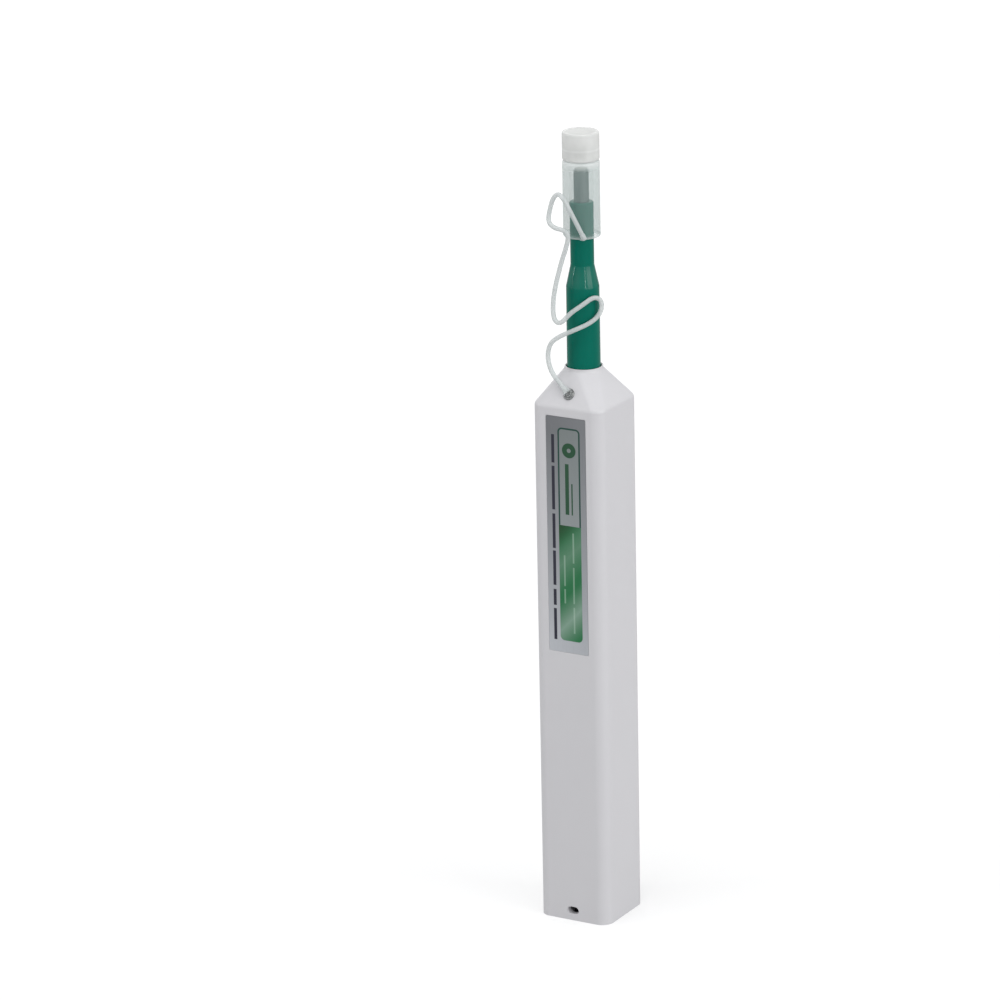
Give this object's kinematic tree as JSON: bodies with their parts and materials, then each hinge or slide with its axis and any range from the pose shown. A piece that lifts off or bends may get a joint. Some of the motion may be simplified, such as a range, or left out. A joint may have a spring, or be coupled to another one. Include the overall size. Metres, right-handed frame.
{
  "type": "fibre connector cleaning pen",
  "caption": "Square push-to-clean pen with a green nozzle, steel tip sleeve, frosted guide cap with flip lid, and a cap tether, for cleaning ferrule end faces.",
  "frame": {"origin": "centre of the flat rear end", "axes": "+Z along the pen towards the cap, -Y out of the labelled face"},
  "size_m": [0.018, 0.018, 0.1852],
  "materials": {
    "body_grey": "fine satin moulding",
    "label_print": "printed film",
    "nozzle_green": "glossy moulding",
    "frosted_cap": "frosted translucent moulding",
    "tether_clear": "soft translucent cord",
    "steel": "turned steel",
    "spring_steel": "drawn wire",
    "frame_white": "plain moulding",
    "gear_white": "acetal moulding",
    "cam_black": "acetal moulding",
    "reel_blue": "plain moulding",
    "thread_white": "fine fibre thread",
    "tip_white": "fine moulding"
  },
  "bodies": {
    "housing": {"housing_shell": "body_grey", "end_plug": "body_grey", "face_label": "label_print", "tether_knob": "tether_clear", "tether": "tether_clear", "cam_pin": "steel", "drive_rack": "gear_white", "return_spring": "spring_steel"},
    "carriage": {"carriage_frame": "frame_white", "frame_cover": "frame_white", "cover_screws": "steel", "supply_axle": "steel", "takeup_axle": "steel", "ratchet_pawl": "spring_steel", "roller_pin": "steel", "thread_run": "thread_white", "nozzle": "nozzle_green", "guide_sleeve": "steel"},
    "supply": {"supply_reel": "reel_blue", "fresh_thread": "thread_white"},
    "takeup": {"takeup_reel": "reel_blue", "used_thread": "thread_white"},
    "pinion": {"drive_pinion": "gear_white"},
    "roller": {"thread_roller": "gear_white"},
    "drum": {"cam_drum": "cam_black", "tip_spring": "spring_steel"},
    "tip": {"cleaning_tip": "tip_white", "tip_thread": "thread_white"},
    "cap": {"guide_cap": "frosted_cap", "lid_hinge": "frosted_cap"},
    "lid": {"cap_lid": "frosted_cap"}
  },
  "joints": [
    {"name": "nozzle_push", "type": "slide", "parent": "housing", "child": "carriage", "axis": [0, 0, -1], "range_m": [0, 0.009], "stiffness_N_per_m": 600, "springref_m": -0.0033, "deforming": ["return_spring", "tether", "thread_run"]},
    {"name": "drive_pinion_turn", "type": "hinge", "parent": "carriage", "child": "pinion", "pos_m": [0, 0, 0.062], "axis": [1, 0, 0], "range_deg": [-1, 130]},
    {"name": "takeup_turn", "type": "hinge", "parent": "carriage", "child": "takeup", "pos_m": [0, 0, 0.062], "axis": [1, 0, 0], "range_deg": [-1, 130], "deforming": ["ratchet_pawl"]},
    {"name": "supply_turn", "type": "hinge", "parent": "carriage", "child": "supply", "pos_m": [0, 0, 0.046], "axis": [1, 0, 0], "range_deg": [-75, 1]},
    {"name": "roller_turn", "type": "hinge", "parent": "carriage", "child": "roller", "pos_m": [0, -0.00455, 0.076], "axis": [1, 0, 0], "range_deg": [-420, 1]},
    {"name": "tip_turn", "type": "hinge", "parent": "carriage", "child": "drum", "pos_m": [0, 0, 0.086], "axis": [0, 0, 1], "range_deg": [-181, 1]},
    {"name": "tip_press", "type": "slide", "parent": "drum", "child": "tip", "axis": [0, 0, -1], "range_m": [0, 0.0012], "stiffness_N_per_m": 900, "springref_m": -0.0015, "deforming": ["tip_spring"]},
    {"name": "guide_cap_pull", "type": "slide", "parent": "carriage", "child": "cap", "axis": [0, 0, 1], "range_m": [0, 0.024]},
    {"name": "lid_flip", "type": "hinge", "parent": "cap", "child": "lid", "pos_m": [-0.00258, 0.00446, 0.1786], "axis": [-0.866, -0.5, 0], "range_deg": [0, 115], "deforming": ["lid_hinge"]}
  ],
  "couplings": [
    {"joint": "drive_pinion_turn", "follows": "nozzle_push", "rad_per_m": 250},
    {"joint": "takeup_turn", "follows": "nozzle_push", "rad_per_m": 250},
    {"joint": "supply_turn", "follows": "nozzle_push", "rad_per_m": -142.86},
    {"joint": "roller_turn", "follows": "nozzle_push", "rad_per_m": -800},
    {"joint": "tip_turn", "follows": "nozzle_push", "rad_per_m": -349.07}
  ]
}
